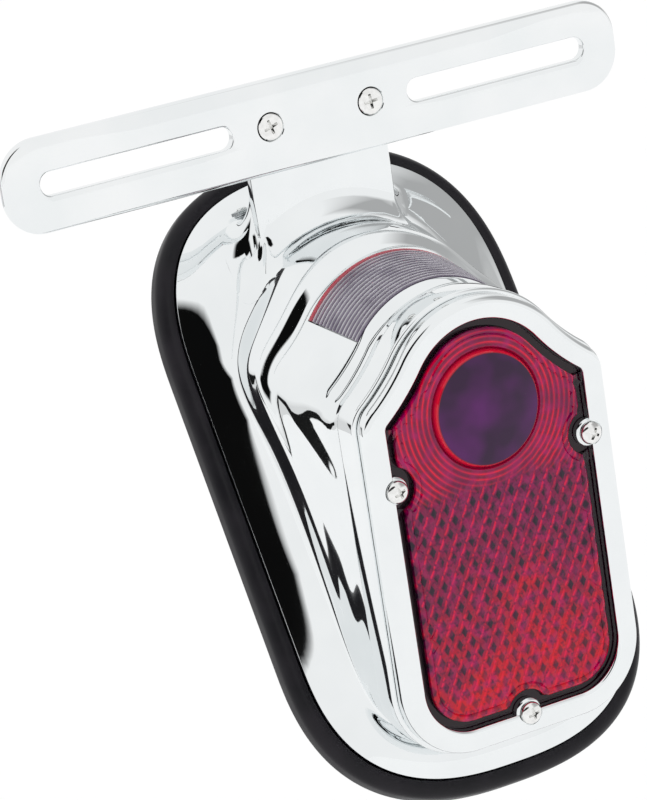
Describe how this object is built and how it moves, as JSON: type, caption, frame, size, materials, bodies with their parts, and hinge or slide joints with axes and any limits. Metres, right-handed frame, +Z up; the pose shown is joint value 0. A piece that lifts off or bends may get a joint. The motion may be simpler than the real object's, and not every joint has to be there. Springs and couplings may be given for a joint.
{
  "type": "motorcycle tail light",
  "caption": "Fender-mounted motorcycle tail light: upright tombstone lens, barrel body with plate-lamp window, sloping gasketed base and a slotted number-plate bracket.",
  "frame": {"origin": "centre of the flat face that sits on the rear fender", "axes": "+Z up as the light stands on the machine; the red lens is upright and faces -Y; the mounting face leans back 27.5 degrees and faces back and down; +X is to the right when looking at the lens"},
  "size_m": [0.186, 0.1022, 0.1905],
  "materials": {
    "chrome_zinc": "polished chrome over die-cast zinc",
    "chrome_steel": "polished chrome over steel strap",
    "nickel_screw": "nickel plated, slightly dull",
    "zinc_steel": "zinc plated",
    "black_rubber": "moulded, satin",
    "seal_rubber": "matt",
    "red_acrylic": "clear red, polished",
    "clear_acrylic": "clear, ribbed",
    "brass": "drawn, semi-bright",
    "bulb_glass": "clear",
    "tungsten": "dull",
    "phenolic": "pressed",
    "spring_steel": "plain",
    "solder": "dull tin"
  },
  "bodies": {
    "light_body": {"back_plate": "zinc_steel", "base_gasket": "black_rubber", "base_screw_bottom": "zinc_steel", "base_screw_left": "zinc_steel", "base_screw_right": "zinc_steel", "bezel": "chrome_zinc", "bezel_screw_bottom": "nickel_screw", "bezel_screw_left": "nickel_screw", "bezel_screw_right": "nickel_screw", "bracket_rivet_left": "zinc_steel", "bracket_rivet_right": "zinc_steel", "bracket_screw_left": "nickel_screw", "bracket_screw_right": "nickel_screw", "contact_spring": "spring_steel", "hex_nut_left": "zinc_steel", "hex_nut_right": "zinc_steel", "housing": "chrome_zinc", "lens_seal": "seal_rubber", "lock_washer_left": "zinc_steel", "lock_washer_right": "zinc_steel", "mount_nut_lower": "zinc_steel", "mount_nut_upper": "zinc_steel", "plate_bracket": "chrome_steel", "plate_window": "clear_acrylic", "red_lens": "red_acrylic", "socket_bracket": "zinc_steel", "socket_shell": "brass", "window_retainer": "zinc_steel", "wire_grommet": "black_rubber"},
    "bulb": {"bulb_base": "brass", "bulb_glass": "bulb_glass", "glass_stem": "bulb_glass", "filament_tail": "tungsten", "filament_brake": "tungsten", "bulb_insulator": "phenolic", "bulb_contact_left": "solder", "bulb_contact_right": "solder"},
    "contact_plate": {"contact_disc": "phenolic", "contact_button_left": "brass", "contact_button_right": "brass"}
  },
  "joints": [
    {"name": "bulb_press", "type": "slide", "parent": "light_body", "child": "bulb", "axis": [0, 1, 0], "range_m": [0, 0.002], "stiffness_N_per_m": 2000, "springref_m": -0.004},
    {"name": "contact_press", "type": "slide", "parent": "light_body", "child": "contact_plate", "axis": [0, 1, 0], "range_m": [0, 0.002], "deforming": ["contact_spring"]}
  ],
  "couplings": [
    {"joint": "contact_press", "follows": "bulb_press", "ratio": 1}
  ]
}
